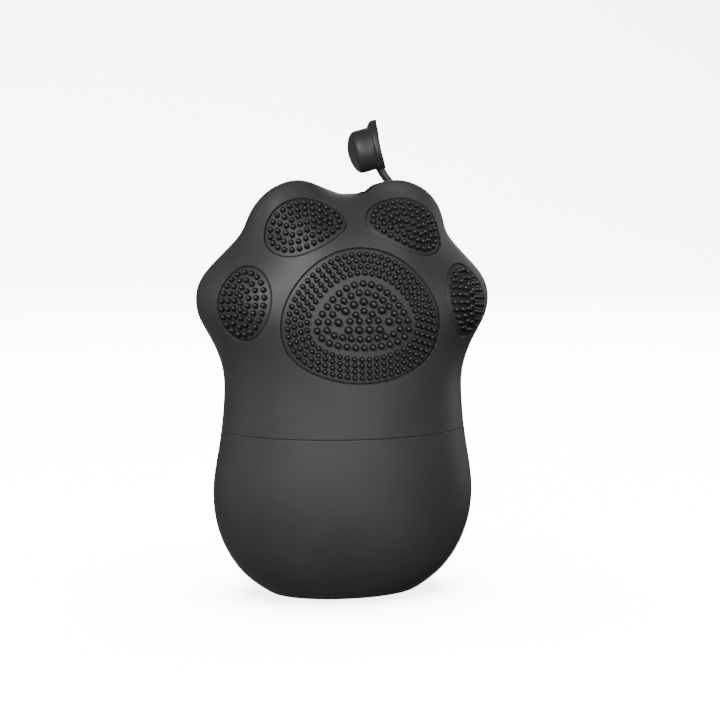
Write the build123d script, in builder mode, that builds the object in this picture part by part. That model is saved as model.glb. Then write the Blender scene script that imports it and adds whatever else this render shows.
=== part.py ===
from build123d import *
import os
import numpy as np

# Paw washer cup. An oval cup with a bristled liner stands on a small flat foot.
# A hollow paw-shaped head plugs into its mouth, carries five brush pads on its front,
# and has a filling port in the valley between the toes, with a plug on a strap.
# Millimetres. +Z is up, -Y is the front, and the origin is the centre of the foot.

os.makedirs("parts", exist_ok=True)

# ---- driving dimensions ----
SEAM_Z = 61.0            # where the head meets the cup
WALL = 3.0               # soft moulded wall
FOOT_PROUD = 0.5         # the foot pad stands this far below the cup
FOOT_PAD = (21.0, 12.5)  # half axes of the foot pad
FOOT_PAD_T = 2.0
FLOOR_Z = 4.0            # inside floor of the cup
MOUTH = (40.7, 30.4)     # half axes of the straight bore at the cup's mouth
MOUTH_DEPTH = 10.0
SLIP = 0.3               # clearance between the collar and the cup
COLLAR_T = 2.2
COLLAR_Z = (52.5, 70.0)
SEAL_Z = 56.5            # height of the seal's groove
SEAL_R = 0.9
SLEEVE = (39.9, 28.1)    # half axes of the sleeve's straight part
SLEEVE_LIP = (42.4, 30.1)
SLEEVE_FOOT = (33.0, 20.4)
SLEEVE_T = 1.6
SLEEVE_FOOT_Z = 9.0
SKIRT_Z = 25.5           # below this the sleeve draws in to its foot
SLEEVE_TOP = 50.4
FINGER_L = 8.0           # washing fingers inside the sleeve
FINGER_R = (1.5, 0.7)
FINGER_ROWS = (29.0, 34.5, 40.0, 45.5)
FINGERS = 20
PAD_BED = 1.8            # depth of the pockets in the skin
PAD_SUNK = 0.6           # the pads' faces lie this far below the skin
PAD_GAP = 0.3            # fine gap round each pad
PAD_REACH = 16.0         # how far a pad's outline is carried through the skin

# Half outlines of the whole body, seen from the front and from the side: (half width, height).
# The two share their knots, so knot i of one and knot i of the other lie on one ring.
FRONT = [(24.5, 0), (30.5, 2.7), (37.2, 8.2), (43.2, 16.8), (47.1, 28), (47.8, 40.3), (46.2, 51.5),
         (44.7, 61), (43.7, 72), (44.3, 83.5), (48.6, 94.5), (52.8, 103), (52.6, 113), (46, 122),
         (38.2, 130.5), (35.2, 137.5), (29.5, 145.8), (18.5, 150.3), (8, 147.8), (0, 146)]
SIDE = [(15, 0), (19.3, 2.7), (24.2, 8.2), (29, 16.8), (32.4, 28), (33.6, 40.3), (33.8, 51.5),
        (33.6, 61), (33.4, 72), (33.4, 83.5), (33.4, 94.5), (33, 103), (31.6, 113), (29, 122),
        (25.5, 130), (21.5, 136), (16, 141.3), (10.5, 144.4), (5, 145.7), (0, 146)]
LEAN = [0] * 14 + [2, 5.5, 9.5, 10.5, 6, 0]       # how far the toe crests lean forward
CROWN = [0] * 14 + [0.4, 1.2, 2.4, 3.8, 4.7, 5]   # how far the valley lies back
# Toe bulges: centre (x, z) on one side, height, radius.
TOES = [(39.5, 107, 3.2, 12), (18, 134, 3.0, 11)]
TOP = len(FRONT) - 1

# Pads: centre on the skin, outward normal, outline (x towards the right, y up) in its own plane.
PALM_OUTLINE = [(0, 25), (11.8, 22.2), (20.6, 15.4), (26.2, 7), (28.1, -1.5), (26.4, -9.6),
                (21, -15.8), (11.5, -20.2), (0, -21.8), (-11.5, -20.2), (-21, -15.8), (-26.4, -9.6),
                (-28.1, -1.5), (-26.2, 7), (-20.6, 15.4), (-11.8, 22.2)]
INNER_OUTLINE = [(14, 2.5), (10, 8.8), (2, 11.6), (-6.5, 9), (-12.8, 3), (-13.8, -5), (-9, -10.8),
                 (-1, -11.6), (7, -7.8), (12.5, -2.5)]
OUTER_OUTLINE = [(0, 12.8), (6, 11), (10, 6), (11, 0), (9.2, -6.5), (4.5, -11.6), (-1.5, -12.8),
                 (-6.8, -9.8), (-9.4, -4), (-9.2, 2.5), (-5.8, 10)]

# Plug and strap, in the plane of the swing: a is measured into the port, b away from the hinge.
HINGE = (17.5, 4.0, 150.0)
PLUG_OPEN = 74.4         # degrees from shut to the moulded open position
PLUG_B = 12.8            # hinge to the plug's axis
PLUG_R = 7.8
FLANGE_R = 8.7
PLUG_CURVE = 27.0        # radius of the hollow outer face
PLUG_FACE = (1.3, 11.6)  # deepest point of that face
FLANGE_T = 2.5
PLUG_T = 9.0
STRAP_T = 2.3
STRAP_W = 6.0
PORT_CLEAR = 0.3
PLUG_END = 1.0           # chamfer of the plug's inner end
TAB_X = -2.6             # pull tab: centre and radius
TAB_R = 3.2
STRAP_FROM = 3.0         # the strap starts this far right of the face's deepest point
BORE_SWING = 1.4
BUSH_R = 11.0
BUSH_Z = 137.0
ANCHOR_X = 20.6
ANCHOR_R = 4.2
ANCHOR_T = 1.0
STEM_R = 2.4
STEM_TOP = 147.0
STOP_R = 3.6             # the stem's head inside the shell
STOP_Z = (137.2, 138.7)
STUB = (1.3, 5.4)        # the fixed strap end, from and to this far from the hinge
PORT_Z = (130.0, 160.0)  # upright cutters on the port run from and to these heights


def knot_curve(values, start="free", end="free"):
    """A smooth cubic through equally spaced values; an end is free or flat (no slope)."""
    v = np.asarray(values, float)
    n = len(v)
    matrix = np.zeros((n, n))
    right = np.zeros(n)
    for i in range(1, n - 1):
        matrix[i, i - 1:i + 2] = (1, 4, 1)
        right[i] = 3 * (v[i + 1] - v[i - 1])
    if start == "flat":
        matrix[0, 0] = 1
    else:
        matrix[0, :2] = (2, 1)
        right[0] = 3 * (v[1] - v[0])
    if end == "flat":
        matrix[-1, -1] = 1
    else:
        matrix[-1, -2:] = (1, 2)
        right[-1] = 3 * (v[-1] - v[-2])
    slope = np.linalg.solve(matrix, right)

    def curve(u):
        """Value at place u along the knots."""
        u = np.asarray(u, float)
        i = np.clip(u.astype(int), 0, n - 2)
        t = u - i
        ends = v[i] * (1 + 2 * t) * (1 - t) ** 2 + v[i + 1] * t * t * (3 - 2 * t)
        return ends + slope[i] * t * (1 - t) ** 2 + slope[i + 1] * t * t * (t - 1)
    return curve


front_x = knot_curve([p[0] for p in FRONT])
front_z = knot_curve([p[1] for p in FRONT], "flat", "flat")
side_y = knot_curve([p[0] for p in SIDE])
side_z = knot_curve([p[1] for p in SIDE], "flat", "flat")
lean = knot_curve(LEAN, "flat", "flat")
crown = knot_curve(CROWN, "flat", "flat")


def raw_skin(u, phi):
    """Point of the skin on ring u at angle phi: an oval ring whose height passes from the front
    outline at its sides to the side outline at its front and back, plus the toe bulges."""
    c, s = np.cos(phi), np.sin(phi)
    x = front_x(u) * c
    y = side_y(u) * s - lean(u) * c * c + crown(u)
    z = front_z(u) * c * c + side_z(u) * s * s
    facing = ((1 - s) / 2) ** 2
    for toe_x, toe_z, height, radius in TOES:
        for side in (1, -1):
            far = ((x - side * toe_x) ** 2 + (z - toe_z) ** 2) / radius ** 2
            bulge = height * np.exp(-far) * facing
            x = x + side * 0.45 * bulge
            y = y - 0.8 * bulge
    return np.stack(np.broadcast_arrays(x, y, z), -1)


def skin_normal(u, phi):
    """Outward unit normal of the skin, from two short steps across it."""
    step = 1e-3
    u = np.clip(u, 0.02, TOP - 0.02)
    along = raw_skin(u + step, phi) - raw_skin(u - step, phi)
    round_ = raw_skin(u, phi + step) - raw_skin(u, phi - step)
    normal = np.cross(round_, along)
    return normal / np.linalg.norm(normal, axis=-1, keepdims=True)


def skin(u, phi, inset=0.0):
    """Point of the skin moved inwards along its normal."""
    return raw_skin(u, phi) - inset * skin_normal(u, phi)


RING_POINTS = 48
HALF_RINGS_FROM = 8      # from this ring up the loft takes rings half a knot apart
phis = np.linspace(0, 2 * np.pi, RING_POINTS, endpoint=False)
SHARES = [float(t) for t in np.linspace(0, 1, RING_POINTS + 1)]   # same knots on every ring


def ring(u, inset, level=False):
    """One closed ring of the skin; a level ring is flattened to its mean height."""
    points = skin(np.full(RING_POINTS, float(u)), phis, inset)
    if level:
        points[:, 2] = points[:, 2].mean()
    return Wire([Edge.make_spline([tuple(p) for p in points], periodic=True, parameters=SHARES)])


def form(inset, first):
    """Closed solid inside the skin by inset, from ring first up to the crown."""
    rings = [ring(first, inset, level=True)]
    rings += [ring(u, inset) for u in np.arange(first + 1, HALF_RINGS_FROM)]
    rings += [ring(u, inset) for u in np.arange(HALF_RINGS_FROM, TOP, 0.5)]
    pole = raw_skin(TOP, 0.0) - np.array([0, 0, inset])
    return Solid.make_loft([*rings, Vertex(*pole)], False)


outer_form = form(0.0, 0)
pad_face_form = form(PAD_SUNK, 6)
pad_bed_form = form(PAD_BED, 6)
inner_form = form(WALL, 6)


def half_axes(z, inset=0.0):
    """Half width and half depth of the body at height z (below the toes), less an inset."""
    u = np.linspace(0, 10, 2001)
    heights = front_z(u)
    axes = []
    for outline in (front_x, side_y):
        here, above = np.interp((z, z + 0.5), heights, outline(u))
        slope = (above - here) / 0.5
        axes.append(float(here - inset * np.sqrt(1 + slope ** 2)))
    return axes


# ---- cup_body: the lower, oval bowl ----
with BuildPart() as cup_body:
    add(outer_form)
    split(bisect_by=Plane.XY.offset(SEAM_Z), keep=Keep.BOTTOM)
    split(bisect_by=Plane.XY.offset(FOOT_PROUD), keep=Keep.TOP)
    for z in (FLOOR_Z, 7, 11, 17, 28, 40, SEAM_Z - MOUTH_DEPTH):
        with BuildSketch(Plane.XY.offset(z)):
            Ellipse(*half_axes(z, WALL))
    loft(mode=Mode.SUBTRACT)
    with BuildSketch(Plane.XY.offset(SEAM_Z)):
        Ellipse(*MOUTH)
    extrude(amount=-MOUTH_DEPTH - 1, mode=Mode.SUBTRACT)
    with BuildSketch(Plane.XY):
        Ellipse(*FOOT_PAD)
    extrude(amount=FOOT_PAD_T, mode=Mode.SUBTRACT)
cup_body.part.label = "cup_body"

# ---- foot_pad: non-slip oval pad let into the bottom ----
with BuildPart() as foot_pad:
    with BuildSketch(Plane.XY):
        Ellipse(*FOOT_PAD)
    extrude(amount=FOOT_PAD_T)
    chamfer(foot_pad.edges().group_by(Axis.Z)[0], 0.3)
foot_pad.part.label = "foot_pad"

# ---- bristle_sleeve: soft liner with washing fingers, its lip caught under the cup's mouth ----
def finger_places(row, z):
    """Roots of one row of fingers, inside the sleeve's wall and square to it."""
    a, b = (axis - SLEEVE_T / 2 for axis in SLEEVE)
    places = []
    for angle in (np.arange(FINGERS) + 0.25 + 0.5 * (row % 2)) * 2 * np.pi / FINGERS:
        root = (a * np.cos(angle), b * np.sin(angle), z)
        inward = (-np.cos(angle) / a, -np.sin(angle) / b, 0)
        places.append(Plane(origin=root, z_dir=inward).location)
    return places


with BuildPart() as bristle_sleeve:
    with BuildSketch(Plane.XY.offset(SKIRT_Z)):
        Ellipse(*SLEEVE)
        Ellipse(*[axis - SLEEVE_T for axis in SLEEVE], mode=Mode.SUBTRACT)
    extrude(amount=SLEEVE_TOP - SKIRT_Z)
    with BuildSketch(Plane.XY.offset(SLEEVE_TOP)):
        Ellipse(*SLEEVE_LIP)
        Ellipse(*[axis - SLEEVE_T for axis in SLEEVE], mode=Mode.SUBTRACT)
    extrude(amount=-SLEEVE_T)
    for row, z in enumerate(FINGER_ROWS):
        with Locations(*finger_places(row, z)):
            Cone(*FINGER_R, FINGER_L + SLEEVE_T / 2, align=(Align.CENTER, Align.CENTER, Align.MIN))
    for wall, mode in ((0, Mode.ADD), (SLEEVE_T, Mode.SUBTRACT)):
        for z, axes in ((SLEEVE_FOOT_Z, SLEEVE_FOOT), (SKIRT_Z, SLEEVE)):
            with BuildSketch(Plane.XY.offset(z)):
                Ellipse(*[axis - wall for axis in axes])
        loft(ruled=True, mode=mode)
bristle_sleeve.part.label = "bristle_sleeve"

# ---- mouth_collar: oval spigot fixed in the head's mouth, a slip fit in the cup ----
COLLAR = [mouth - SLIP for mouth in MOUTH]

with BuildPart() as mouth_collar:
    with BuildSketch(Plane.XY.offset(COLLAR_Z[0])):
        Ellipse(*COLLAR)
        Ellipse(*[axis - COLLAR_T for axis in COLLAR], mode=Mode.SUBTRACT)
    extrude(amount=COLLAR_Z[1] - COLLAR_Z[0])
    chamfer(mouth_collar.edges().group_by(Axis.Z)[0], 0.5)
    with BuildSketch(Plane.XY.offset(SEAL_Z - SEAL_R)):
        Ellipse(*[axis + 1 for axis in COLLAR])
        Ellipse(*[axis - 1.5 * SEAL_R for axis in COLLAR], mode=Mode.SUBTRACT)
    extrude(amount=2 * SEAL_R, mode=Mode.SUBTRACT)
mouth_collar.part.label = "mouth_collar"

# ---- seal_ring: soft ring in the collar's groove ----
with BuildPart() as seal_ring:
    with BuildLine():
        Spline(*[(axis_x, axis_y, SEAL_Z) for axis_x, axis_y in
                 [((COLLAR[0] - 0.5 * SEAL_R) * np.cos(t), (COLLAR[1] - 0.5 * SEAL_R) * np.sin(t))
                  for t in np.linspace(0, 2 * np.pi, 32, endpoint=False)]], periodic=True)
    with BuildSketch(Plane(origin=(COLLAR[0] - 0.5 * SEAL_R, 0, SEAL_Z), z_dir=(0, 1, 0))):
        Circle(SEAL_R - 0.2)
    sweep()
seal_ring.part.label = "seal_ring"


# ---- brush pads ----
def pad_plane(centre, normal):
    """Plane at a pad's centre: z is its outward normal, x level, y up."""
    z = np.array(normal) / np.linalg.norm(normal)
    x = np.cross((0, 0, 1), z)
    return Plane(origin=centre, x_dir=tuple(x), z_dir=tuple(z))


def make_pad(plane, outline, name):
    """A plate cut from the skin by the pad's outline."""
    with BuildPart() as made:
        with BuildSketch(plane):
            with BuildLine():
                Spline(*outline, periodic=True)
            make_face()
        extrude(amount=PAD_REACH, both=True)
        add(pad_face_form, mode=Mode.INTERSECT)
        add(pad_bed_form, mode=Mode.SUBTRACT)
    made.part.label = name
    return made.part


def grown(outline, amount):
    """The outline's points moved outwards, square to the line between their neighbours."""
    points = np.array(outline, float)
    ways = np.roll(points, -1, axis=0) - np.roll(points, 1, axis=0)
    normals = np.stack([ways[:, 1], -ways[:, 0]], -1) / np.hypot(*ways.T)[:, None]
    area = np.sum(points[:, 0] * np.roll(points[:, 1], -1) - points[:, 1] * np.roll(points[:, 0], -1))
    return [tuple(p) for p in points + amount * np.sign(area) * normals]


def make_pocket(plane, outline):
    """The space that a pad and its gap take out of the skin."""
    with BuildPart() as made:
        with BuildSketch(plane):
            with BuildLine():
                Spline(*grown(outline, PAD_GAP), periodic=True)
            make_face()
        extrude(amount=PAD_REACH, both=True)
        add(pad_bed_form, mode=Mode.SUBTRACT)
    return made.part


palm = (pad_plane((0, -32.6, 102.2), (0, -0.997, 0.07)), PALM_OUTLINE)
inner_toe = (pad_plane((-18, -19.7, 134.5), (-0.225, -0.83, 0.51)), INNER_OUTLINE)
outer_toe = (pad_plane((-39.6, -20, 108), (-0.635, -0.765, 0.11)), OUTER_OUTLINE)

palm_pad = make_pad(*palm, "palm_pad")
inner_toe_pad_left = make_pad(*inner_toe, "inner_toe_pad_left")
inner_toe_pad_right = mirror(inner_toe_pad_left, about=Plane.YZ)
inner_toe_pad_right.label = "inner_toe_pad_right"
outer_toe_pad_left = make_pad(*outer_toe, "outer_toe_pad_left")
outer_toe_pad_right = mirror(outer_toe_pad_left, about=Plane.YZ)
outer_toe_pad_right.label = "outer_toe_pad_right"

# ---- the plug's swing: shared shapes of the plug and its port ----
PORT = (HINGE[0] - PLUG_B, HINGE[1])
CURVE_X = HINGE[0] - PLUG_FACE[1]
CURVE_Z = HINGE[2] - PLUG_FACE[0] + PLUG_CURVE
swing = Plane(origin=(CURVE_X, HINGE[1], CURVE_Z), x_dir=(1, 0, 0), z_dir=(0, -1, 0))
hinge_x, hinge_z = HINGE[0] - CURVE_X, HINGE[2] - CURVE_Z
SLAB_W = 24              # wider than the plug, its flange and their clearance


def bowed_slab(top, bottom, width):
    """Ring about the centre of the plug's hollow face, from depth top to depth bottom."""
    with BuildPart() as made:
        with BuildSketch(swing):
            Circle(PLUG_CURVE + bottom)
            if top is not None:
                Circle(PLUG_CURVE + top, mode=Mode.SUBTRACT)
        extrude(amount=width / 2, both=True)
    return made.part


def upright(x, radius, low=PORT_Z[0], high=PORT_Z[1]):
    """Upright cylinder at x on the port's centre plane."""
    with BuildPart() as made:
        with Locations((x, PORT[1], low)):
            Cylinder(radius, high - low, align=(Align.CENTER, Align.CENTER, Align.MIN))
    return made.part


# ---- fill_plug: soft plug, flange, pull tab and strap in one, made shut and turned open ----
with BuildPart() as shut_plug:
    add(upright(PORT[0], PLUG_R))
    add(bowed_slab(0, PLUG_T, SLAB_W), mode=Mode.INTERSECT)
    chamfer(shut_plug.faces().sort_by(Axis.Z)[0].edges(), PLUG_END)
    add(upright(PORT[0], FLANGE_R) & bowed_slab(0, FLANGE_T, SLAB_W))
    add(upright(TAB_X, TAB_R) & bowed_slab(0, FLANGE_T, SLAB_W))
    with BuildSketch(swing):
        Circle(PLUG_CURVE + STRAP_T)
        Circle(PLUG_CURVE, mode=Mode.SUBTRACT)
        with BuildLine():
            Polyline((0, 0), (2 * hinge_x, 2 * hinge_z), (STRAP_FROM, 2 * hinge_z), close=True)
        make_face(mode=Mode.INTERSECT)
        with Locations((hinge_x, hinge_z)):
            Circle(STRAP_T / 2)
    extrude(amount=STRAP_W / 2, both=True)
fill_plug = shut_plug.part.rotate(Axis(HINGE, (0, 1, 0)), PLUG_OPEN)
fill_plug.label = "fill_plug"

# ---- port_bush: the seat and bore that the plug closes ----
# The bore is longer towards the tab, where the plug's end swings out on its way in.
with BuildPart() as bore:
    for x in (PORT[0], PORT[0] - BORE_SWING):
        add(upright(x, PLUG_R + PORT_CLEAR))
    with BuildSketch(Plane.XY.offset(PORT_Z[0])):
        with Locations((PORT[0] - BORE_SWING / 2, PORT[1])):
            Rectangle(BORE_SWING, 2 * (PLUG_R + PORT_CLEAR))
    extrude(amount=PORT_Z[1] - PORT_Z[0])

with BuildPart() as strap_way:
    with BuildSketch(swing):
        Circle(PLUG_CURVE + STRAP_T + PORT_CLEAR)
        with BuildLine():
            Polyline((0, 0), (2 * hinge_x, 2 * hinge_z), (STRAP_FROM, 2 * hinge_z), close=True)
        make_face(mode=Mode.INTERSECT)
        with Locations((hinge_x, hinge_z)):
            Circle(STRAP_T / 2 + PORT_CLEAR)
    extrude(amount=STRAP_W / 2 + PORT_CLEAR, both=True)

SEAT_T = FLANGE_T + 0.05
seat = upright(PORT[0], FLANGE_R + PORT_CLEAR) & bowed_slab(None, SEAT_T, SLAB_W)
tab_way = upright(TAB_X, TAB_R + PORT_CLEAR) & bowed_slab(None, SEAT_T, SLAB_W)

with BuildPart() as port_bush:
    add(upright(PORT[0] - BORE_SWING / 2, BUSH_R, BUSH_Z))
    add(outer_form, mode=Mode.INTERSECT)
    add([bore.part, seat, tab_way, strap_way.part], mode=Mode.SUBTRACT)
port_bush.part.label = "port_bush"

# ---- strap_anchor: the strap's fixed end, a foot on the skin and a headed stem through it ----
tangent = np.array([-hinge_z, hinge_x]) / np.hypot(hinge_x, hinge_z)
turn = np.radians(-PLUG_OPEN)
stub_way = (tangent[0] * np.cos(turn) - tangent[1] * np.sin(turn),
            tangent[0] * np.sin(turn) + tangent[1] * np.cos(turn))
stub = Plane(origin=HINGE, x_dir=(stub_way[0], 0, stub_way[1]), z_dir=(0, -1, 0))

with BuildPart() as strap_anchor:
    add(upright(ANCHOR_X, ANCHOR_R))
    add(form(-ANCHOR_T, HALF_RINGS_FROM), mode=Mode.INTERSECT)
    add(strap_way.part, mode=Mode.SUBTRACT)
    with BuildSketch(stub):
        with Locations((STUB[0], 0)):
            Rectangle(STUB[1] - STUB[0], STRAP_T, align=(Align.MIN, Align.CENTER))
    extrude(amount=STRAP_W / 2, both=True)
    add(outer_form, mode=Mode.SUBTRACT)
    add(upright(ANCHOR_X, STEM_R, STOP_Z[0], STEM_TOP))
    add(upright(ANCHOR_X, STOP_R, *STOP_Z))
strap_anchor.part.label = "strap_anchor"

# ---- paw_shell: the hollow head ----
with BuildPart() as head_hollow:
    add(inner_form)
    split(bisect_by=Plane.XY.offset(COLLAR_Z[1]), keep=Keep.TOP)

pockets = [make_pocket(*pad) for pad in (palm, inner_toe, outer_toe)]
pockets += [mirror(pocket, about=Plane.YZ) for pocket in pockets[1:]]

with BuildPart() as paw_shell:
    add(outer_form)
    split(bisect_by=Plane.XY.offset(SEAM_Z), keep=Keep.TOP)
    add(head_hollow.part, mode=Mode.SUBTRACT)
    with BuildSketch(Plane.XY.offset(SEAM_Z)):
        Ellipse(*COLLAR)
    extrude(amount=COLLAR_Z[1] - SEAM_Z, mode=Mode.SUBTRACT)
    for pocket in pockets:
        add(pocket, mode=Mode.SUBTRACT)
    add(upright(PORT[0] - BORE_SWING / 2, BUSH_R, BUSH_Z), mode=Mode.SUBTRACT)
    add(strap_way.part, mode=Mode.SUBTRACT)
    add(upright(ANCHOR_X, STEM_R), mode=Mode.SUBTRACT)
paw_shell.part.label = "paw_shell"

pieces = [cup_body.part, foot_pad.part, bristle_sleeve.part, mouth_collar.part, seal_ring.part,
          paw_shell.part, palm_pad, inner_toe_pad_left, inner_toe_pad_right, outer_toe_pad_left,
          outer_toe_pad_right, port_bush.part, strap_anchor.part, fill_plug]
for piece in pieces:
    export_step(piece, f"parts/{piece.label}.step")
    print(piece.label, len(piece.solids()), round(piece.volume), piece.is_valid)
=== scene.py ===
# %% [markdown]
# # Paw washer cup
# A soft silicone cup stands on a small flat foot. A hollow head shaped like a paw plugs into its
# mouth at a flush seam. Five brush pads are let into the head's front, and a tethered plug stands
# open above the filling port in the valley between the toes.
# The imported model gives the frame: every new piece is made where its own part already is.

import bpy
import numpy as np
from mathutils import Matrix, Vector


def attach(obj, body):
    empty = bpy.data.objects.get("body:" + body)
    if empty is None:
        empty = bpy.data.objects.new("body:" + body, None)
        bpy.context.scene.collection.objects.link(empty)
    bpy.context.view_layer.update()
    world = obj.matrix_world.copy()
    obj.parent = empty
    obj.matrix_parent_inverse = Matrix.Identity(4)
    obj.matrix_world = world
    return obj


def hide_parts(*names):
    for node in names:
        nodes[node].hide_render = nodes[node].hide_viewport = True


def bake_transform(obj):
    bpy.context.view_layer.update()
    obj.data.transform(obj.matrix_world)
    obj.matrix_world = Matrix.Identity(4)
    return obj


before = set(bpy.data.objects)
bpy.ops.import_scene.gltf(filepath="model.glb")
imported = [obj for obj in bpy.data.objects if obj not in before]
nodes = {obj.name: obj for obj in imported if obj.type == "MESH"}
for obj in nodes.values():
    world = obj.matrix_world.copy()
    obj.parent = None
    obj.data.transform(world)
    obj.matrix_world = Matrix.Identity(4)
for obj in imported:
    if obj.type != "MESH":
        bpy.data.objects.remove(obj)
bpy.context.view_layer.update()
MM = 0.001

# %% [markdown]
# ## Camera
# A portrait lens a little above the middle of the cup, 13 degrees round to its left, so the
# right flank and the right toe are seen more from the side than the left ones. The angle and
# the distance are kept as plain numbers, and the place follows from them.

# %% Camera
CAMERA_AZIMUTH = -13.0
CAMERA_ELEVATION = 6.35
CAMERA_DISTANCE = 0.6185
CAMERA_TARGET = (0.0059, -0.0011, 0.0851)
LENS_MM, SENSOR_MM = 85, 36

azimuth, elevation = np.radians((CAMERA_AZIMUTH, CAMERA_ELEVATION))
back = Vector((np.sin(azimuth) * np.cos(elevation), -np.cos(azimuth) * np.cos(elevation),
               np.sin(elevation)))
camera = bpy.data.objects.new("camera", bpy.data.cameras.new("camera"))
bpy.context.scene.collection.objects.link(camera)
camera.data.lens, camera.data.sensor_width = LENS_MM, SENSOR_MM
camera.location = Vector(CAMERA_TARGET) + CAMERA_DISTANCE * back
camera.rotation_mode = "QUATERNION"
camera.rotation_quaternion = (-back).to_track_quat("-Z", "Y")
bpy.context.scene.camera = camera
print("camera at", [round(c, 4) for c in camera.location])

# %% [markdown]
# ## The body as a formula
# The whole body is one smooth surface: a stack of oval rings. Two half outlines drive it, one seen
# from the front and one from the side. Knot number u of both lies on the same ring, and the ring's
# height passes from the front outline at its sides to the side outline at its front and back.
# Four round bulges lift the toes off the front. Working in a formula, not with sculpted vertices,
# lets the pads, their pockets and the inner wall all follow the same skin at their own depth.

# %% Outlines, in millimetres
FRONT = [(24.5, 0), (30.5, 2.7), (37.2, 8.2), (43.2, 16.8), (47.1, 28), (47.8, 40.3), (46.2, 51.5),
         (44.7, 61), (43.7, 72), (44.3, 83.5), (48.6, 94.5), (52.8, 103), (52.6, 113), (46, 122),
         (38.2, 130.5), (35.2, 137.5), (29.5, 145.8), (18.5, 150.3), (8, 147.8), (0, 146)]
SIDE = [(15, 0), (19.3, 2.7), (24.2, 8.2), (29, 16.8), (32.4, 28), (33.6, 40.3), (33.8, 51.5),
        (33.6, 61), (33.4, 72), (33.4, 83.5), (33.4, 94.5), (33, 103), (31.6, 113), (29, 122),
        (25.5, 130), (21.5, 136), (16, 141.3), (10.5, 144.4), (5, 145.7), (0, 146)]
LEAN = [0] * 14 + [2, 5.5, 9.5, 10.5, 6, 0]
CROWN = [0] * 14 + [0.4, 1.2, 2.4, 3.8, 4.7, 5]
TOES = [(39.5, 107, 3.2, 12), (18, 134, 3.0, 11)]
TOP = len(FRONT) - 1
SEAM_U = 7
SEAM_Z = 61.0
WALL = 3.0
TOE_SPREAD, TOE_LIFT = 0.45, 0.8      # shares of a bulge that go outwards and forwards


def knot_curve(values, start="free", end="free"):
    """Cubic through equally spaced values with equal slopes and curvatures at the knots.
    An end is free, with no curvature, or flat, with no slope."""
    v = np.asarray(values, float)
    n = len(v)
    matrix, right = np.zeros((n, n)), np.zeros(n)
    inside = np.arange(1, n - 1)
    matrix[inside, inside - 1] = 1
    matrix[inside, inside] = 4
    matrix[inside, inside + 1] = 1
    right[1:-1] = 3 * (v[2:] - v[:-2])
    matrix[0, :2], right[0] = ((1, 0), 0) if start == "flat" else ((2, 1), 3 * (v[1] - v[0]))
    matrix[-1, -2:], right[-1] = ((0, 1), 0) if end == "flat" else ((1, 2), 3 * (v[-1] - v[-2]))
    slope = np.linalg.solve(matrix, right)

    def curve(u):
        u = np.asarray(u, float)
        i = np.clip(u.astype(int), 0, n - 2)
        t = u - i
        ends = v[i] * (1 + 2 * t) * (1 - t) ** 2 + v[i + 1] * t * t * (3 - 2 * t)
        return ends + slope[i] * t * (1 - t) ** 2 + slope[i + 1] * t * t * (t - 1)
    return curve


front_x, side_y = (knot_curve([across for across, _ in line]) for line in (FRONT, SIDE))
front_z, side_z = (knot_curve([up for _, up in line], "flat", "flat") for line in (FRONT, SIDE))
lean, crown = knot_curve(LEAN, "flat", "flat"), knot_curve(CROWN, "flat", "flat")


def raw_skin(u, phi):
    """Point of ring u at angle phi: x is the front outline times cos, y is the side outline times
    sin less the lean of the crests, z is mixed by cos squared. Each toe adds a bell-shaped bulge
    that falls off with distance and towards the back."""
    c, s = np.cos(phi), np.sin(phi)
    x = front_x(u) * c
    y = side_y(u) * s - lean(u) * c * c + crown(u)
    z = front_z(u) * c * c + side_z(u) * s * s
    facing = ((1 - s) / 2) ** 2
    for toe_x, toe_z, height, radius in TOES:
        for side in (1, -1):
            far = ((x - side * toe_x) ** 2 + (z - toe_z) ** 2) / radius ** 2
            bulge = height * np.exp(-far) * facing
            x = x + side * TOE_SPREAD * bulge
            y = y - TOE_LIFT * bulge
    return np.stack(np.broadcast_arrays(x, y, z), -1)


def unit(vectors):
    """Vectors divided by their own lengths."""
    return vectors / np.linalg.norm(vectors, axis=-1, keepdims=True)


def skin_normal(u, phi):
    """Outward unit normal: the cross product of a short step round the ring and one up it."""
    step = 1e-3
    u = np.clip(u, 0.02, TOP - 0.02)
    along = raw_skin(u + step, phi) - raw_skin(u - step, phi)
    around = raw_skin(u, phi + step) - raw_skin(u, phi - step)
    return unit(np.cross(around, along))


def skin(u, phi, inset=0.0):
    """The skin moved inwards along its normal by inset, which may differ from point to point."""
    return raw_skin(u, phi) - np.asarray(inset)[..., None] * skin_normal(u, phi)


print("crest height", round(float(raw_skin(17.0, 0.0)[2]), 1), "mm, cup width",
      round(2 * float(front_x(5.0)), 1), "mm")

# %% [markdown]
# ## Meshes from arrays
# Every new piece is a stack of closed rings of points, so one helper turns a (rings, points, 3)
# array into a closed mesh: quads between neighbouring rings and a fan at each end.

# %% Mesh helpers
def quads(rings, points):
    """Indices of the quads between neighbouring closed rings, turned so that they face outwards
    when the rings run anticlockwise seen from the far end."""
    i, j = np.meshgrid(np.arange(rings - 1), np.arange(points), indexing="ij")
    here, there = i * points, (i + 1) * points
    after = (j + 1) % points
    return np.stack([here + j, here + after, there + after, there + j], -1).reshape(-1, 4)


def fill(mesh, vertices, fours, threes=None):
    """Put vertices (mm), quads and triangles into a mesh, as whole arrays."""
    threes = np.zeros((0, 3), int) if threes is None else threes
    corners = np.concatenate([fours.ravel(), threes.ravel()]).astype(np.int32)
    starts = np.concatenate([np.arange(len(fours)) * 4,
                             len(fours) * 4 + np.arange(len(threes)) * 3])
    mesh.vertices.add(len(vertices))
    mesh.loops.add(len(corners))
    mesh.polygons.add(len(starts))
    mesh.vertices.foreach_set("co", (vertices * MM).astype(np.float32).ravel())
    mesh.loops.foreach_set("vertex_index", corners)
    mesh.polygons.foreach_set("loop_start", starts.astype(np.int32))
    mesh.update(calc_edges=True)
    mesh.validate()


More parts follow.
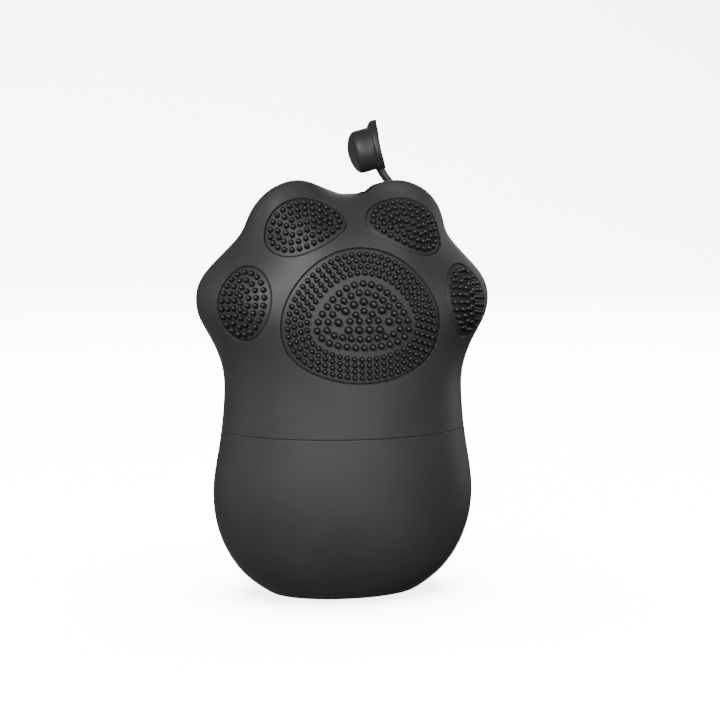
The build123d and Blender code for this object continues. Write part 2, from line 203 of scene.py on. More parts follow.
def capped(rings):
    """Vertices, quads and triangles of closed surfaces. Each is a stack of closed rings whose
    first and last ring are drawn in to their mean point by a fan; several stacks of the same
    size may be given at once, as (stacks, rings, points, 3)."""
    count, points = rings.shape[-3:-1]
    rings = rings.reshape(-1, count, points, 3)
    ends = np.stack([rings[:, 0].mean(1), rings[:, -1].mean(1)], 1)
    vertices = np.concatenate([rings.reshape(len(rings), -1, 3), ends], 1)
    first, last = count * points, count * points + 1
    j = np.arange(points)
    after = (j + 1) % points
    low = np.stack([np.full(points, first), after, j], -1)
    high = np.stack([np.full(points, last), first - points + j, first - points + after], -1)
    offsets = np.arange(len(rings))[:, None, None] * vertices.shape[1]
    fours = (quads(count, points)[None] + offsets).reshape(-1, 4)
    threes = (np.concatenate([low, high])[None] + offsets).reshape(-1, 3)
    return vertices.reshape(-1, 3), fours, threes


def piece(name, parts, body, stands_for, sharp=40.0, live=True):
    """One Blender object from closed (vertices, quads, triangles) parts, smooth but for edges
    sharper than an angle. It rides on a body and stands for a CAD node."""
    vertices, fours, threes, offset = [], [], [], 0
    for part_vertices, part_fours, part_threes in parts:
        vertices.append(part_vertices)
        fours.append(part_fours + offset)
        threes.append(part_threes + offset)
        offset += len(part_vertices)
    mesh = bpy.data.meshes.new(name)
    fill(mesh, np.concatenate(vertices), np.concatenate(fours), np.concatenate(threes))
    obj = bpy.data.objects.new(name, mesh)
    bpy.context.scene.collection.objects.link(obj)
    mesh.shade_smooth()
    mesh.set_sharp_from_angle(angle=np.radians(sharp))
    if live:
        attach(obj, body)
        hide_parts(*stands_for)
        print(name, len(mesh.polygons), "faces")
    return obj


# %% [markdown]
# ## The cup
# One soft moulding: outside it is the skin from the foot to the seam, then a rounded rim, a
# straight bore that the head's collar slips into, and a smooth bowl inside. The rim's tiny
# rounding, met by the same rounding on the head, is what draws the hairline seam.

# %% Cup
AROUND = 320
phis = np.linspace(0, 2 * np.pi, AROUND, endpoint=False)
MOUTH = (40.7, 30.4)
RIM_ROUND = 0.2
SEAM_GAP = 0.14
FOOT_PROUD = 0.5
FOOT_PAD = (21.2, 12.7)
FLOOR_Z = 4.0
MOUTH_DEPTH, MOUTH_FLARE = 10.0, 0.4
FOOT_RECESS = 1.5


def skin_rings(us, inset=0.0):
    """Rings of the skin at knots us, each at one inset or at its own."""
    insets = np.broadcast_to(inset, np.shape(us)).astype(float)
    u, phi = np.meshgrid(us, phis, indexing="ij")
    return skin(u, phi, np.broadcast_to(insets[:, None], u.shape))


def ovals(rows):
    """Level rings from rows of (half width, half depth, height)."""
    a, b, z = (np.array(rows, float)[:, k, None] for k in range(3))
    level = np.broadcast_to(z, (len(rows), AROUND))
    return np.stack([a * np.cos(phis), b * np.sin(phis), level], -1)


def half_axes(z, inset=0.0):
    """Half width and half depth of the body at height z, less an inset square to the outline,
    whose slope comes from a second height a short step above."""
    u, step = np.linspace(0, 10, 2001), 0.5
    heights = front_z(u)
    out = []
    for outline in (front_x, side_y):
        here, above = np.interp((z, z + step), heights, outline(u))
        out.append(here - inset * np.hypot(1, (above - here) / step))
    return out


def rounded_edge(axes, z, radius, turn):
    """Quarter-round rim: ovals that lose up to radius in width as they reach height z.
    turn is +1 for an upper rim, -1 for a lower one."""
    angle = np.linspace(0, np.pi / 2, 5)
    drawn_in = radius * (1 - np.cos(angle))
    up = z - turn * radius * (1 - np.sin(angle))
    return list(zip(axes[0] - drawn_in, axes[1] - drawn_in, up))


foot_u = np.interp(FOOT_PROUD, front_z(np.linspace(0, 1, 200)), np.linspace(0, 1, 200))
outside = skin_rings(np.linspace(foot_u, SEAM_U - 0.05, 110))
rim_z = SEAM_Z - SEAM_GAP
rim = rounded_edge(half_axes(rim_z), rim_z, RIM_ROUND, 1)
bore = [(MOUTH[0] + MOUTH_FLARE, MOUTH[1] + MOUTH_FLARE, rim_z), (*MOUTH, SEAM_Z - 0.6),
        (*MOUTH, SEAM_Z - MOUTH_DEPTH)]
bowl = [(*half_axes(z, WALL), z)
        for z in np.linspace(SEAM_Z - MOUTH_DEPTH - 0.6, FLOOR_Z + 0.4, 36)]
floor_axes = half_axes(FLOOR_Z, WALL)
floor = [(floor_axes[0] * k, floor_axes[1] * k, FLOOR_Z) for k in (0.97, 0.6, 0.2)]
recess_z = FOOT_PROUD + FOOT_RECESS
foot_recess = [(FOOT_PAD[0] * k, FOOT_PAD[1] * k, recess_z) for k in (0.2, 0.97)]
foot_recess += [(*FOOT_PAD, recess_z - 0.1), (*FOOT_PAD, FOOT_PROUD)]
cup_rings = np.concatenate([ovals(foot_recess), outside, ovals(rim + bore + bowl + floor)])
piece("cup", [capped(cup_rings)], "cup", ["cup_body"])

# %% [markdown]
# ## The pads' planes
# Each brush pad has a flat plane of its own, a centre on the skin and an outline drawn in that
# plane. Newton's method finds the ring and the angle of the skin that lie under a flat point,
# so an outline, a plate or a nub can be drawn flat and then settled on the curved skin.

# %% Pads and their outlines
PAD_SUNK = 0.35
PAD_BED = 1.8
OUTLINE_POINTS = 240
PALM_OUTLINE = [(0, 25), (11.8, 22.2), (20.6, 15.4), (26.2, 7), (28.1, -1.5), (26.4, -9.6),
                (21, -15.8), (11.5, -20.2), (0, -21.8), (-11.5, -20.2), (-21, -15.8),
                (-26.4, -9.6), (-28.1, -1.5), (-26.2, 7), (-20.6, 15.4), (-11.8, 22.2)]
INNER_OUTLINE = [(14, 2.5), (10, 8.8), (2, 11.6), (-6.5, 9), (-12.8, 3), (-13.8, -5), (-9, -10.8),
                 (-1, -11.6), (7, -7.8), (12.5, -2.5)]
OUTER_OUTLINE = [(0, 12.8), (6, 11), (10, 6), (11, 0), (9.2, -6.5), (4.5, -11.6), (-1.5, -12.8),
                 (-6.8, -9.8), (-9.4, -4), (-9.2, 2.5), (-5.8, 10)]


def closed_curve(knots, count):
    """Smooth closed curve through knots, sampled evenly by length: a natural cubic over three
    laps of the knots, of which the middle lap is kept."""
    laps = np.array(list(knots) * 3, float)
    u = np.linspace(len(knots), 2 * len(knots), 1200)
    points = np.stack([knot_curve(laps[:, 0])(u), knot_curve(laps[:, 1])(u)], -1)
    run = np.concatenate([[0], np.cumsum(np.hypot(*np.diff(points, axis=0).T))])
    at = np.linspace(0, run[-1], count, endpoint=False)
    return np.stack([np.interp(at, run, points[:, k]) for k in (0, 1)], -1)


def twice_area(curve):
    """Twice the area inside a closed curve: positive when it runs anticlockwise."""
    after = np.roll(curve, -1, axis=0)
    return np.sum(curve[:, 0] * after[:, 1] - curve[:, 1] * after[:, 0])


def pushed(curve, distance):
    """A closed curve moved outwards by distance, square to the line between neighbours."""
    ways = np.roll(curve, -1, axis=0) - np.roll(curve, 1, axis=0)
    square = np.stack([ways[:, 1], -ways[:, 0]], -1) / np.hypot(*ways.T)[:, None]
    return curve + distance * np.sign(twice_area(curve)) * square


class Pad:
    """A pad's plane, its outline and the skin under it. side is -1 for a left pad as seen from
    the front, 1 for its mirror image on the right."""

    def __init__(self, centre, normal, outline, side=-1):
        flip = np.array([-side, 1, 1])
        normal = unit(np.array(normal))
        right = unit(np.cross((0, 0, 1), normal))
        self.axes = np.stack([right * flip, np.cross(normal, right) * flip], -1)
        self.normal = normal * flip
        self.centre = np.array(centre, float) * flip
        self.mirrored = side == 1
        self.curve = closed_curve(outline, OUTLINE_POINTS)
        if twice_area(self.curve) < 0:
            self.curve = self.curve[::-1]
        self.middle = self.curve.mean(0)

    def settle(self, flat, inset):
        """Ring and angle of the skin under flat points: start from the nearest point of a coarse
        net, then step by the two by two slope matrix until the flat places agree."""
        net_u, net_phi = (a.ravel() for a in np.meshgrid(np.arange(8, TOP, 0.25),
                                                         np.linspace(-np.pi, 0, 61)))
        inset = np.broadcast_to(inset, (len(flat),)).astype(float)
        net = (raw_skin(net_u, net_phi) - self.centre) @ self.axes
        nearest = np.argmin(((net[None] - flat[:, None]) ** 2).sum(-1), axis=1)
        u, phi = net_u[nearest], net_phi[nearest]
        step = 1e-3
        for _ in range(8):
            here = (skin(u, phi, inset) - self.centre) @ self.axes
            by_u = ((skin(u + step, phi, inset) - self.centre) @ self.axes - here) / step
            by_phi = ((skin(u, phi + step, inset) - self.centre) @ self.axes - here) / step
            miss = flat - here
            det = by_u[:, 0] * by_phi[:, 1] - by_u[:, 1] * by_phi[:, 0]
            u = u + (miss[:, 0] * by_phi[:, 1] - miss[:, 1] * by_phi[:, 0]) / det
            phi = phi + (by_u[:, 0] * miss[:, 1] - by_u[:, 1] * miss[:, 0]) / det
        return u, phi

    def on_skin(self, flat, inset):
        """Points on the skin under flat points, at their insets, and the skin's normals there."""
        u, phi = self.settle(flat, inset)
        return skin(u, phi, np.broadcast_to(inset, u.shape)), skin_normal(u, phi)

    def stack(self, rows):
        """Rings of the skin under the pad's outline, from rows of (kind, amount, inset): 'scale'
        draws the outline in towards its middle, 'push' moves it outwards by a distance."""
        flats = [self.middle + amount * (self.curve - self.middle) if kind == "scale"
                 else pushed(self.curve, amount) for kind, amount, _ in rows]
        insets = np.repeat([inset for _, _, inset in rows], len(self.curve))
        points, _ = self.on_skin(np.concatenate(flats), insets)
        rings = points.reshape(len(rows), -1, 3)
        return rings[:, ::-1] if self.mirrored else rings


INNER = ((-18, -19.7, 134.5), (-0.225, -0.83, 0.51), INNER_OUTLINE)
OUTER = ((-39.6, -20, 108), (-0.635, -0.765, 0.11), OUTER_OUTLINE)
pads = {
    "palm_pad": Pad((0, -32.6, 102.2), (0, -0.997, 0.07), PALM_OUTLINE),
    "inner_toe_pad_left": Pad(*INNER),
    "inner_toe_pad_right": Pad(*INNER, 1),
    "outer_toe_pad_left": Pad(*OUTER),
    "outer_toe_pad_right": Pad(*OUTER, 1),
}
for name, pad in pads.items():
    miss = (pad.on_skin(pad.curve, 0.0)[0] - pad.centre) @ pad.axes - pad.curve
    print(name, "settled to", round(float(np.abs(miss).max()), 4), "mm")

# %% [markdown]
# ## The head
# The head is the same skin from the seam to the crown, with an inner wall one thickness inside
# it, all in one closed surface: down the inner wall, out under the rim and up the outside.
# The pockets for the pads are then cut with closed cutters made from the pads' own outlines. A
# cutter flares where it passes the skin, so each pocket gets a small rounded lip.

# %% Head
COLLAR = (40.4, 30.1)
COLLAR_TOP = 70.0
HINGE = np.array([17.5, 4.0, 150.0])
PORT_X = 4.7
BORE_SWING = 1.4
BUSH_R = 11.0
CURVE_R = 27.0
CURVE = (5.9, 175.7)
PLUG_OPEN = 74.4
STRAP_T = 2.3
STRAP_W = 6.0
BUSH_Z = (136.95, 162.0)
BUSH_CLEAR, GROOVE_CLEAR = 0.05, 0.4
GROOVE_TALL = 14
HEAD_SHARP = 26

inner_top = skin_rings(np.linspace(TOP - 0.3, 8.6, 60), WALL)
inner_foot = [(*half_axes(COLLAR_TOP, WALL), COLLAR_TOP), (*COLLAR, COLLAR_TOP - 0.1),
              (*COLLAR, SEAM_Z)]
lower_rim = rounded_edge(half_axes(SEAM_Z), SEAM_Z, RIM_ROUND, -1)[::-1]
head_outside = skin_rings(np.linspace(SEAM_U + 0.05, TOP - 0.02, 190))
head = piece("head", [capped(np.concatenate([inner_top, ovals(inner_foot + lower_rim),
                                             head_outside]))], "head", ["paw_shell"])

LIP = [("scale", 0.03, -3.0), ("scale", 0.5, -3.0), ("push", 0.3, -3.0), ("push", 0.8, -1.0),
       ("push", 0.56, -0.1), ("push", 0.44, 0.01), ("push", 0.34, 0.09), ("push", 0.26, 0.22),
       ("push", 0.22, 0.4), ("push", 0.2, PAD_BED), ("scale", 0.5, PAD_BED),
       ("scale", 0.03, PAD_BED)]


def plain(name, parts):
    """A cutter: a mesh object that isn't part of the scene's object and is removed after use."""
    return piece(name, parts, None, (), live=False)


cutters = [plain("pocket_" + name, [capped(pad.stack(LIP[::-1]))]) for name, pad in pads.items()]

circle = np.linspace(0, 2 * np.pi, 96, endpoint=False)
hole_r = BUSH_R + BUSH_CLEAR
bush_hole = np.stack([np.stack([PORT_X - BORE_SWING / 2 + hole_r * np.cos(circle),
                                HINGE[1] + hole_r * np.sin(circle),
                                np.full(len(circle), z)], -1) for z in BUSH_Z])
cutters.append(plain("bush_hole", [capped(bush_hole)]))

reach = CURVE_R + STRAP_T + GROOVE_CLEAR
sweep = np.radians(np.linspace(-88, -62.5, 24))
groove_low = np.stack([CURVE[0] + reach * np.cos(sweep), CURVE[1] + reach * np.sin(sweep)], -1)
groove = np.concatenate([groove_low, groove_low[::-1] + (0, GROOVE_TALL)])
groove_rings = np.stack([np.stack([groove[:, 0], np.full(len(groove), y), groove[:, 1]], -1)
                         for y in (HINGE[1] + STRAP_W / 2 + GROOVE_CLEAR,
                                   HINGE[1] - STRAP_W / 2 - GROOVE_CLEAR)])
cutters.append(plain("strap_groove", [capped(groove_rings)]))

for cutter in cutters:
    cut = head.modifiers.new(cutter.name, "BOOLEAN")
    cut.operation, cut.solver, cut.object = "DIFFERENCE", "EXACT", cutter
graph = bpy.context.evaluated_depsgraph_get()
cut_mesh = bpy.data.meshes.new_from_object(head.evaluated_get(graph))
head.modifiers.clear()
head.data = cut_mesh
for cutter in cutters:
    bpy.data.objects.remove(cutter)
head.data.shade_smooth()
head.data.set_sharp_from_angle(angle=np.radians(HEAD_SHARP))
print("head after cutting", len(head.data.polygons), "faces")

# %% [markdown]
# ## The brush pads
# A pad is a plate with a rounded edge that follows the skin a little below it. Its soft nubs
# stand in loops that follow the outline. The palm pad has a band of four close loops, then a
# smooth ring, then a rounded triangle of larger nubs that grow towards its middle.

# %% Pad plates and nubs
PLATE = [("scale", 0.03, PAD_BED - 0.05), ("scale", 0.5, PAD_BED - 0.05),
         ("push", -0.1, PAD_BED - 0.05), ("push", -0.02, PAD_BED - 0.2), ("push", -0.02, 0.85),
         ("push", -0.06, 0.65), ("push", -0.2, 0.46), ("push", -0.4, 0.37),
         ("push", -0.8, PAD_SUNK)]
PLATE += [("scale", share, PAD_SUNK) for share in (0.88, 0.78, 0.64, 0.5, 0.36, 0.22, 0.1, 0.03)]
NUB_PROFILE = np.array([(1.0, -0.25), (1.0, 0.05), (0.93, 0.45), (0.8, 0.72), (0.52, 0.93),
                        (0.2, 1.0)])
NUB_POINTS = 12
MOULD_PULL = 0.6            # share of the pad's own normal in each nub's direction
BAND_NUB, TOE_NUB = (1.0, 1.6), (1.05, 1.6)                       # (radius, height)
FIELD_NUB, CORE_NUB, LARGE_NUB = (1.25, 1.7), (1.25, 1.8), (1.48, 2.0)
BAND_LOOPS, BAND_PITCH = (2.1, 4.2, 6.3, 8.4), 2.6
TOE_LOOPS, TOE_PITCH = (2.2, 4.85, 7.5), 2.65
INNER_LINE, INNER_SLOPE = (-3.65, -1.2, 1.2, 3.65), 20
OUTER_LINE, OUTER_SLOPE = (-2.4, 0, 2.4), 95


def evenly(curve, count, phase=0.0):
    """count points spaced evenly along a closed curve, starting phase of a step along it."""
    closed = np.concatenate([curve, curve[:1]])
    run = np.concatenate([[0], np.cumsum(np.hypot(*np.diff(closed, axis=0).T))])
    at = (np.arange(count) + phase) * run[-1] / count
    return np.stack([np.interp(at, run, closed[:, k]) for k in (0, 1)], -1)


def inward(curve, distance):
    """A closed curve moved inwards in short steps, each evened out and slightly smoothed, so that
    it shrinks without crossing itself."""
    steps = max(1, int(np.ceil(distance / 0.4)))
    for _ in range(steps):
        curve = pushed(curve, -distance / steps)
        curve = 0.5 * curve + 0.25 * (np.roll(curve, 1, axis=0) + np.roll(curve, -1, axis=0))
        curve = evenly(curve, len(curve))
    return curve


def loop_length(curve):
    """Length round a closed curve."""
    return np.hypot(*(np.roll(curve, -1, axis=0) - curve).T).sum()


def nub_loops(curve, distances, pitch):
    """Nub places in loops inside an outline: even along each loop, staggered from loop to loop."""
    places = []
    for row, distance in enumerate(distances):
        loop = inward(curve, distance)
        places.append(evenly(loop, max(1, round(loop_length(loop) / pitch)), 0.5 * (row % 2)))
    return np.concatenate(places)


def nubs(pad, flat, radius, height):
    """Round-tipped nubs at flat places: rings of the profile, scaled by radius and height, about
    a direction between the skin's normal there and the pad's own, as a mould would pull them."""
    base, square = pad.on_skin(flat, PAD_SUNK)
    normal = unit((1 - MOULD_PULL) * square + MOULD_PULL * pad.normal)
    across = unit(np.cross((0, 0, 1), normal))
    along = np.cross(normal, across)
    turn = np.linspace(0, 2 * np.pi, NUB_POINTS, endpoint=False)
    across, along, normal, base = (a[:, None, None] for a in (across, along, normal, base))
    spoke = np.cos(turn)[:, None] * across + np.sin(turn)[:, None] * along
    wide, tall = NUB_PROFILE[:, 0, None, None], NUB_PROFILE[:, 1, None, None]
    return capped(base + radius * wide * spoke + height * tall * normal)


FIELD = [(0, 12.8), (8.4, 9.6), (14.2, 2.8), (16.2, -3), (12.4, -7.2), (6.2, -8.8), (0, -9.3),
         (-6.2, -8.8), (-12.4, -7.2), (-16.2, -3), (-14.2, 2.8), (-8.4, 9.6)]


def palm_nubs(pad):
    """The palm's nubs: the close band, then the field's two loops, an arch of the largest nubs
    over a row of four, and seven in the middle."""
    field = closed_curve(FIELD, OUTLINE_POINTS)
    band = nub_loops(pad.curve, BAND_LOOPS, BAND_PITCH)
    large = [(-8.9, -0.4), (-6.4, 3.5), (-3.5, 5.6), (0, 6.6), (3.5, 5.6), (6.4, 3.5), (8.9, -0.4),
             *[(x, -3.1) for x in np.linspace(-5.5, 5.5, 4)]]
    core = [(-2.9, 2.2), (0, 3.4), (2.9, 2.2), *[(x, 0) for x in np.linspace(-5, 5, 4)]]
    return [nubs(pad, band, *BAND_NUB), nubs(pad, evenly(field, 28), *FIELD_NUB),
            nubs(pad, evenly(inward(field, 3.0), 22, 0.5), *CORE_NUB),
            nubs(pad, np.array(large), *LARGE_NUB), nubs(pad, np.array(core), *CORE_NUB)]


def toe_nubs(pad, steps, slope):
    """A toe pad's nubs: three loops that follow the outline, and inside them a few at steps along
    a line that rises at slope degrees."""
    way = np.array([np.cos(np.radians(slope)), np.sin(np.radians(slope))])
    line = pad.middle + np.outer(steps, way)
    loops = nub_loops(pad.curve, TOE_LOOPS, TOE_PITCH)
    return [nubs(pad, np.concatenate([loops, line]), *TOE_NUB)]


for name, pad in pads.items():
    piece(name + "_face", [capped(pad.stack(PLATE))], "head", [name], 50)
    soft = (palm_nubs(pad) if name == "palm_pad"
            else toe_nubs(pad, INNER_LINE, INNER_SLOPE) if "inner" in name
            else toe_nubs(pad, OUTER_LINE, OUTER_SLOPE))
    piece(name + "_nubs", soft, "head", [name], 50)

# %% [markdown]
# ## The plug and its strap
# The plug is a profile turned about the port's axis, then bowed: every depth follows a circle
# about a point high above it, so the outer face is hollow as a thumb rest. It is made shut and
# turned open about the hinge. The strap is a swept bar from the plug, through the hinge, down to
# its anchor; it bends between head and plug where the hinge is.

# %% Plug and strap
PLUG_PROFILE = np.array([(0.1, 0), (3, 0), (6, 0), (8.0, 0), (8.35, 0.06), (8.6, 0.26), (8.7, 0.6),
                         (8.7, 1.9), (8.6, 2.25), (8.35, 2.45), (8.0, 2.5), (7.75, 2.6),
                         (7.7, 2.9), (7.75, 5.4), (7.7, 7.9), (7.5, 8.4), (7.1, 8.8), (6.6, 9.0),
                         (4, 9), (0.1, 9)])
PLUG_POINTS = 72
PLUG_BOW = 0.006            # curving of the outer face, per millimetre
STRAP_POINTS = 32
STRAP_SQUARE = 0.4          # power of the section's superellipse, under 1 for a flat bar
STRAP_SWELL = 0.25          # share by which the strap thickens into its anchor
TAB_X = -1.8
TAB_PROFILE = np.array([(0.1, 0), (2.6, 0), (2.95, 0.08), (3.15, 0.3), (3.2, 0.6), (3.2, 1.9),
                        (3.1, 2.25), (2.85, 2.45), (2.5, 2.5), (0.1, 2.5)])


def bowed(profile, centre_x):
    """Turned profile (radius, depth) about an upright axis, with its height set by depth along
    circles about the face's centre of curvature."""
    turn = np.linspace(0, 2 * np.pi, PLUG_POINTS, endpoint=False)
    x = centre_x + profile[:, :1] * np.cos(turn)
    y = HINGE[1] + profile[:, :1] * np.sin(turn)
    z = CURVE[1] - np.sqrt((CURVE_R + profile[:, 1:]) ** 2 - (x - CURVE[0]) ** 2)
    z += PLUG_BOW * (x - CURVE[0]) ** 2
    return np.stack([x, y, z], -1)[::-1]


def opened(points):
    """Points turned about the hinge's level axis from shut to open."""
    angle = np.radians(PLUG_OPEN)
    c, s = np.cos(angle), np.sin(angle)
    turn = np.array([[c, 0, s], [0, 1, 0], [-s, 0, c]])
    return HINGE + (points - HINGE) @ turn.T


stopper, tab = (capped(opened(bowed(profile, x)))
                for profile, x in ((PLUG_PROFILE, PORT_X), (TAB_PROFILE, TAB_X)))
piece("plug", [stopper, tab], "plug", ["fill_plug"])

middle_r = CURVE_R + STRAP_T / 2
arc = np.radians(np.linspace(-84, -65.7, 14))
shut_arc = np.stack([CURVE[0] + middle_r * np.cos(arc), np.full(len(arc), HINGE[1]),
                     CURVE[1] + middle_r * np.sin(arc)], -1)
stub_way = np.array([0.641, 0, -0.767])
straight = HINGE + np.linspace(0.6, 5.6, 10)[:, None] * stub_way
path = np.concatenate([opened(shut_arc), straight])
over = np.cross(unit(np.gradient(path, axis=0)), (0, 1, 0))
turn = np.linspace(0, 2 * np.pi, STRAP_POINTS, endpoint=False)
wide = np.sign(np.cos(turn)) * np.abs(np.cos(turn)) ** STRAP_SQUARE * STRAP_W / 2
thick = np.sign(np.sin(turn)) * np.abs(np.sin(turn)) ** STRAP_SQUARE * STRAP_T / 2
near_anchor = np.clip((np.arange(len(path)) - 18) / 5, 0, 1)[:, None, None]
swell = 1 + STRAP_SWELL * near_anchor ** 2
strap_rings = path[:, None] + swell * (wide[:, None] * np.array([0, 1, 0])
                                       + thick[:, None] * over[:, None])
strap = piece("strap", [capped(strap_rings)], None, (), live=False)
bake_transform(strap)

# %% [markdown]
# ## Materials
# Everything is soft moulded silicone or rubber in near-black greys, so the finish lives in small
# differences: a fine moulded grain, a broad cloudiness in the gloss where hands have touched it,
# and a little pale dust. One node group makes all three from Object coordinates.

# %% The shared grain group
CLOUD_SCALE, SPECK_SCALE = 38.0, 900.0      # repeats per metre
DUST_COLOUR = (0.35, 0.33, 0.3, 1)
grain_group = bpy.data.node_groups.new("moulded_grain", "ShaderNodeTree")
interface = grain_group.interface
for label, kind, value in (("Colour", "NodeSocketColor", (0.03, 0.03, 0.03, 1)),
                           ("Roughness", "NodeSocketFloat", 0.5),
                           ("Grain per metre", "NodeSocketFloat", 2500),
                           ("Cloud", "NodeSocketFloat", 0.1), ("Dust", "NodeSocketFloat", 0.02)):
    socket = interface.new_socket(label, in_out="INPUT", socket_type=kind)
    socket.default_value = value
for label, kind in (("Colour", "NodeSocketColor"), ("Roughness", "NodeSocketFloat"),
                    ("Height", "NodeSocketFloat")):
    interface.new_socket(label, in_out="OUTPUT", socket_type=kind)


def link(tree, source, target):
    """Join two sockets."""
    tree.links.new(source, target)


def feed(tree, socket, value):
    """Give a socket a plain number, or link it to another node's output."""
    if isinstance(value, (int, float)):
        socket.default_value = value
    else:
        link(tree, value, socket)


def noise(tree, coordinates, scale, detail, roughness):
    """A noise texture node on given coordinates."""
    node = tree.nodes.new("ShaderNodeTexNoise")
    node.inputs["Detail"].default_value = detail
    node.inputs["Roughness"].default_value = roughness
    link(tree, coordinates, node.inputs["Vector"])
    feed(tree, node.inputs["Scale"], scale)
    return node.outputs["Fac"]


def ranged(tree, source, low, high, to_low, to_high):
    """A map range node: low and high become to_low and to_high, with what lies outside held."""
    node = tree.nodes.new("ShaderNodeMapRange")
    link(tree, source, node.inputs["Value"])
    for label, value in (("From Min", low), ("From Max", high), ("To Min", to_low),
                         ("To Max", to_high)):
        node.inputs[label].default_value = value
    return node.outputs["Result"]


def maths(tree, kind, a, b):
    """A math node of two values."""
    node = tree.nodes.new("ShaderNodeMath")
    node.operation = kind
    for socket, value in zip(node.inputs, (a, b)):
        feed(tree, socket, value)
    return node.outputs[0]


inputs = grain_group.nodes.new("NodeGroupInput")
outputs = grain_group.nodes.new("NodeGroupOutput")
place = grain_group.nodes.new("ShaderNodeTexCoord").outputs["Object"]
fine = noise(grain_group, place, inputs.outputs["Grain per metre"], 3, 0.6)
cloud = noise(grain_group, place, CLOUD_SCALE, 4, 0.5)
specks = noise(grain_group, place, SPECK_SCALE, 2, 0.7)
dusting = maths(grain_group, "MULTIPLY", ranged(grain_group, specks, 0.6, 0.75, 0.0, 1.0),
                ranged(grain_group, cloud, 0.4, 0.65, 0.0, 1.0))
amount = maths(grain_group, "MULTIPLY", dusting, inputs.outputs["Dust"])
shade = grain_group.nodes.new("ShaderNodeMix")
shade.data_type = "RGBA"
shade.blend_type = "MIX"
tint = grain_group.nodes.new("ShaderNodeHueSaturation")
link(grain_group, inputs.outputs["Colour"], tint.inputs["Color"])
link(grain_group, ranged(grain_group, cloud, 0.3, 0.7, 0.9, 1.1), tint.inputs["Value"])
link(grain_group, amount, shade.inputs["Factor"])
link(grain_group, tint.outputs["Color"], shade.inputs["A"])
shade.inputs["B"].default_value = DUST_COLOUR
link(grain_group, shade.outputs["Result"], outputs.inputs["Colour"])
wander = maths(grain_group, "MULTIPLY", ranged(grain_group, cloud, 0.3, 0.7, -1.0, 1.0),
               inputs.outputs["Cloud"])
wandering = maths(grain_group, "ADD", inputs.outputs["Roughness"], wander)
link(grain_group, maths(grain_group, "ADD", wandering, amount), outputs.inputs["Roughness"])
link(grain_group, fine, outputs.inputs["Height"])
print("grain group with", len(grain_group.nodes), "nodes")

# %% [markdown]
# ## The finishes
# The shell is a dark warm grey with a faint sheen. The pads are a shade darker. Their nubs are
# glossier still, so that each tip catches one small highlight, and much darker: partly their own
# blacker silicone, partly painted shade that stands in for the shade gathered round the nubs'
# bases. The inner parts that show when the head is lifted are told apart by their own greys and
# gloss.

# %% The finishes
SHEEN_ROUGHNESS = 0.4
FINISHES = {
    # name: (colour, roughness, grain per metre, cloud, dust, bump height in mm, sheen)
    "soft_shell": ((0.04, 0.0395, 0.039), 0.55, 3200, 0.05, 0.03, 0.01, 0.1),
    "foot_rubber": ((0.012, 0.012, 0.012), 0.62, 1800, 0.05, 0.1, 0.02, 0.0),
    "liner": ((0.045, 0.046, 0.048), 0.5, 2600, 0.05, 0.02, 0.01, 0.1),
    "hard_ring": ((0.02, 0.02, 0.021), 0.4, 2400, 0.05, 0.02, 0.008, 0.0),
    "seal": ((0.008, 0.008, 0.008), 0.42, 3000, 0.04, 0.02, 0.006, 0.0),
    "brush_pad": ((0.034, 0.0338, 0.0336), 0.55, 3600, 0.05, 0.03, 0.005, 0.06),
    # brush_nub: its near-black colour is partly painted shade, standing in for the shade round the
    # nubs' bases
    "brush_nub": ((0.016, 0.016, 0.0162), 0.4, 3600, 0.05, 0.02, 0.004, 0.0),
    "plug_rubber": ((0.034, 0.0335, 0.033), 0.5, 3000, 0.05, 0.03, 0.01, 0.1),
}


def finish(name, colour, roughness, grain, cloudiness, dust, height, sheen):
    """A Principled material whose colour, roughness and bump come from the shared grain group."""
    material = bpy.data.materials.new(name)
    material.use_nodes = True
    tree = material.node_tree
    shader = tree.nodes["Principled BSDF"]
    group = tree.nodes.new("ShaderNodeGroup")
    group.node_tree = grain_group
    for label, value in (("Colour", (*colour, 1)), ("Roughness", roughness),
                         ("Grain per metre", grain), ("Cloud", cloudiness), ("Dust", dust)):
        group.inputs[label].default_value = value
    bump = tree.nodes.new("ShaderNodeBump")
    bump.inputs["Distance"].default_value = height * MM
    bump.inputs["Strength"].default_value = 1.0
    link(tree, group.outputs["Height"], bump.inputs["Height"])
    link(tree, group.outputs["Colour"], shader.inputs["Base Color"])
    link(tree, group.outputs["Roughness"], shader.inputs["Roughness"])
    link(tree, bump.outputs["Normal"], shader.inputs["Normal"])
    shader.inputs["Sheen Weight"].default_value = sheen
    shader.inputs["Sheen Roughness"].default_value = SHEEN_ROUGHNESS
    return material


finishes = {name: finish(name, *values) for name, values in FINISHES.items()}
SLOT_OF = {"cup": "soft_shell", "head": "soft_shell",
           "plug": "plug_rubber", "strap": "plug_rubber",
           **{name + "_face": "brush_pad" for name in pads},
           **{name + "_nubs": "brush_nub" for name in pads}}
for name, slot_name in SLOT_OF.items():
    data = bpy.data.objects[name].data
    data.materials.clear()
    data.materials.append(finishes[slot_name])

CAD_SLOTS = {"foot_pad": "foot_rubber", "bristle_sleeve": "liner", "mouth_collar": "hard_ring",
             "seal_ring": "seal", "port_bush": "hard_ring", "strap_anchor": "plug_rubber"}
for name, slot_name in CAD_SLOTS.items():
    for slot in nodes[name].material_slots:
        slot.material = finishes[slot_name]
print(len(finishes), "finishes on", len(SLOT_OF) + len(CAD_SLOTS), "objects")

# %% [markdown]
# ## Studio
# A pale floor bends up into a pale wall, so no horizon shows. A large soft key stands at the upper
# left, with a weaker fill in front. Narrow lights at both sides and a wide one behind draw the
# edges. Paper and surround glow only for the camera, because their glow would wash out a dark,
# soft surface, and one more light falls on the paper alone.

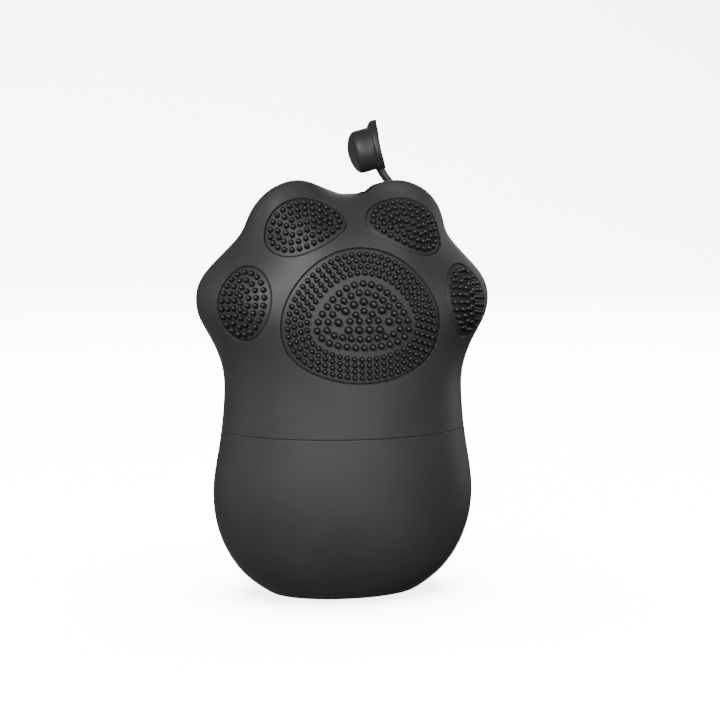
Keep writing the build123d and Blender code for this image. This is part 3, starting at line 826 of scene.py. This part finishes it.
# %% Floor and light
PAPER_GLOW = 4.5
SURROUND_GLOW = 13.0
FLOOR_RINGS, BEND_RINGS = 20, 24
LIGHTS = [
    # (name, place, target, width, height, watts)
    ("key", (-0.6, -0.95, 0.68), (0, 0, 0.11), 0.45, 0.45, 16),
    ("rim", (0.8, 0.3, 0.25), (0, 0, 0.09), 0.25, 0.7, 1.5),
    ("left", (-0.9, 0.2, 0.3), (0, 0, 0.09), 0.25, 0.8, 1.2),
    ("fill", (0.2, -1.2, 0.3), (0, 0, 0.08), 0.9, 0.7, 8),
    ("back", (0.5, 1.3, 0.6), (0, 0, 0.1), 0.9, 0.9, 4.5),
    ("floor_wash", (0, 0, 1.6), (0, 0, 0), 1.8, 1.8, 460),
]


def cyclorama(near, far, radius, height, half_width):
    """A seamless backdrop: a profile that runs along the floor, up a quarter circle and up a
    wall, carried across the full width."""
    bend = np.linspace(0, np.pi / 2, BEND_RINGS)
    y = np.concatenate([np.linspace(near, far, FLOOR_RINGS), far + radius * np.sin(bend),
                        [far + radius]])
    z = np.concatenate([np.zeros(FLOOR_RINGS), radius * (1 - np.cos(bend)), [height]])
    grid = np.stack([np.stack([np.full(len(y), x), y, z], -1) for x in (half_width, -half_width)])
    j = np.arange(len(y) - 1)
    faces = np.stack([j, j + 1, len(y) + j + 1, len(y) + j], -1)
    mesh = bpy.data.meshes.new("backdrop")
    fill(mesh, grid.reshape(-1, 3) / MM, faces)
    mesh.shade_smooth()
    obj = bpy.data.objects.new("backdrop", mesh)
    bpy.context.scene.collection.objects.link(obj)
    return obj


backdrop = cyclorama(-3.0, 1.5, 1.0, 5.0, 5.0)
paper = bpy.data.materials.new("paper")
paper.use_nodes = True
paper_shader = paper.node_tree.nodes["Principled BSDF"]
paper_shader.inputs["Base Color"].default_value = (0.9, 0.9, 0.9, 1)
paper_shader.inputs["Roughness"].default_value = 0.9
paper_shader.inputs["Specular IOR Level"].default_value = 0.0
paper_shader.inputs["Emission Color"].default_value = (1, 1, 1, 1)
paper_shader.inputs["Emission Strength"].default_value = PAPER_GLOW
backdrop.data.materials.append(paper)
backdrop.visible_diffuse = False
backdrop.visible_glossy = False


def softbox(name, location, target, width, height, power):
    """A rectangular area light aimed at a point."""
    data = bpy.data.lights.new(name, "AREA")
    data.shape, data.size, data.size_y, data.energy = "RECTANGLE", width, height, power
    lamp = bpy.data.objects.new(name, data)
    bpy.context.scene.collection.objects.link(lamp)
    lamp.location = location
    lamp.rotation_mode = "QUATERNION"
    lamp.rotation_quaternion = (Vector(target) - Vector(location)).to_track_quat("-Z", "Y")
    return lamp


lamps = {values[0]: softbox(*values) for values in LIGHTS}
washed = bpy.data.collections.new("washed")
washed.objects.link(backdrop)
lamps["floor_wash"].light_linking.receiver_collection = washed
world = bpy.data.worlds.new("surround")
world.use_nodes = True
glow = world.node_tree.nodes["Background"]
glow.inputs["Color"].default_value = (1, 1, 1, 1)
glow.inputs["Strength"].default_value = SURROUND_GLOW
world.cycles_visibility.diffuse = False
world.cycles_visibility.glossy = False
bpy.context.scene.world = world
print(len(lamps), "lights")
